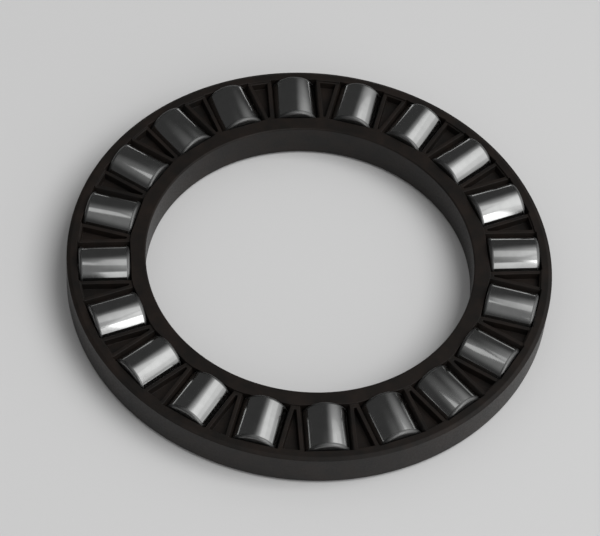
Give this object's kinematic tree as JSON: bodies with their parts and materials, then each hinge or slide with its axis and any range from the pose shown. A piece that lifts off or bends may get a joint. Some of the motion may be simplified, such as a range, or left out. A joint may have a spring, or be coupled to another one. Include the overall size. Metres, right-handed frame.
{
  "type": "cylindrical roller thrust cage assembly",
  "caption": "Flat black moulded ring cage with radial pockets that hold short steel cylindrical rollers proud of both faces; snap lips and wedge hollows between the pockets.",
  "frame": {"origin": "on the shaft's axis, at the height of the rollers' axes", "axes": "+Z along the shaft, +X along the first roller's axis"},
  "size_m": [0.0518, 0.0518, 0.005],
  "materials": {
    "cage_polyamide": "matte",
    "roller_steel": "ground and polished"
  },
  "bodies": {
    "cage": {"cage": "cage_polyamide"},
    "roller_01": {"roller_01": "roller_steel"},
    "roller_02": {"roller_02": "roller_steel"},
    "roller_03": {"roller_03": "roller_steel"},
    "roller_04": {"roller_04": "roller_steel"},
    "roller_05": {"roller_05": "roller_steel"},
    "roller_06": {"roller_06": "roller_steel"},
    "roller_07": {"roller_07": "roller_steel"},
    "roller_08": {"roller_08": "roller_steel"},
    "roller_09": {"roller_09": "roller_steel"},
    "roller_10": {"roller_10": "roller_steel"},
    "roller_11": {"roller_11": "roller_steel"},
    "roller_12": {"roller_12": "roller_steel"},
    "roller_13": {"roller_13": "roller_steel"},
    "roller_14": {"roller_14": "roller_steel"},
    "roller_15": {"roller_15": "roller_steel"},
    "roller_16": {"roller_16": "roller_steel"},
    "roller_17": {"roller_17": "roller_steel"},
    "roller_18": {"roller_18": "roller_steel"},
    "roller_19": {"roller_19": "roller_steel"},
    "roller_20": {"roller_20": "roller_steel"}
  },
  "joints": [
    {"name": "roller_01_spin", "type": "hinge", "parent": "cage", "child": "roller_01", "pos_m": [0.02195, 0, 0], "axis": [1, 0, 0], "continuous": true},
    {"name": "roller_02_spin", "type": "hinge", "parent": "cage", "child": "roller_02", "pos_m": [0.02088, 0.00678, 0], "axis": [0.9511, 0.309, 0], "continuous": true},
    {"name": "roller_03_spin", "type": "hinge", "parent": "cage", "child": "roller_03", "pos_m": [0.01776, 0.0129, 0], "axis": [0.809, 0.5878, 0], "continuous": true},
    {"name": "roller_04_spin", "type": "hinge", "parent": "cage", "child": "roller_04", "pos_m": [0.0129, 0.01776, 0], "axis": [0.5878, 0.809, 0], "continuous": true},
    {"name": "roller_05_spin", "type": "hinge", "parent": "cage", "child": "roller_05", "pos_m": [0.00678, 0.02088, 0], "axis": [0.309, 0.9511, 0], "continuous": true},
    {"name": "roller_06_spin", "type": "hinge", "parent": "cage", "child": "roller_06", "pos_m": [0, 0.02195, 0], "axis": [0, 1, 0], "continuous": true},
    {"name": "roller_07_spin", "type": "hinge", "parent": "cage", "child": "roller_07", "pos_m": [-0.00678, 0.02088, 0], "axis": [-0.309, 0.9511, 0], "continuous": true},
    {"name": "roller_08_spin", "type": "hinge", "parent": "cage", "child": "roller_08", "pos_m": [-0.0129, 0.01776, 0], "axis": [-0.5878, 0.809, 0], "continuous": true},
    {"name": "roller_09_spin", "type": "hinge", "parent": "cage", "child": "roller_09", "pos_m": [-0.01776, 0.0129, 0], "axis": [-0.809, 0.5878, 0], "continuous": true},
    {"name": "roller_10_spin", "type": "hinge", "parent": "cage", "child": "roller_10", "pos_m": [-0.02088, 0.00678, 0], "axis": [-0.9511, 0.309, 0], "continuous": true},
    {"name": "roller_11_spin", "type": "hinge", "parent": "cage", "child": "roller_11", "pos_m": [-0.02195, 0, 0], "axis": [-1, 0, 0], "continuous": true},
    {"name": "roller_12_spin", "type": "hinge", "parent": "cage", "child": "roller_12", "pos_m": [-0.02088, -0.00678, 0], "axis": [-0.9511, -0.309, 0], "continuous": true},
    {"name": "roller_13_spin", "type": "hinge", "parent": "cage", "child": "roller_13", "pos_m": [-0.01776, -0.0129, 0], "axis": [-0.809, -0.5878, 0], "continuous": true},
    {"name": "roller_14_spin", "type": "hinge", "parent": "cage", "child": "roller_14", "pos_m": [-0.0129, -0.01776, 0], "axis": [-0.5878, -0.809, 0], "continuous": true},
    {"name": "roller_15_spin", "type": "hinge", "parent": "cage", "child": "roller_15", "pos_m": [-0.00678, -0.02088, 0], "axis": [-0.309, -0.9511, 0], "continuous": true},
    {"name": "roller_16_spin", "type": "hinge", "parent": "cage", "child": "roller_16", "pos_m": [0, -0.02195, 0], "axis": [0, -1, 0], "continuous": true},
    {"name": "roller_17_spin", "type": "hinge", "parent": "cage", "child": "roller_17", "pos_m": [0.00678, -0.02088, 0], "axis": [0.309, -0.9511, 0], "continuous": true},
    {"name": "roller_18_spin", "type": "hinge", "parent": "cage", "child": "roller_18", "pos_m": [0.0129, -0.01776, 0], "axis": [0.5878, -0.809, 0], "continuous": true},
    {"name": "roller_19_spin", "type": "hinge", "parent": "cage", "child": "roller_19", "pos_m": [0.01776, -0.0129, 0], "axis": [0.809, -0.5878, 0], "continuous": true},
    {"name": "roller_20_spin", "type": "hinge", "parent": "cage", "child": "roller_20", "pos_m": [0.02088, -0.00678, 0], "axis": [0.9511, -0.309, 0], "continuous": true}
  ]
}
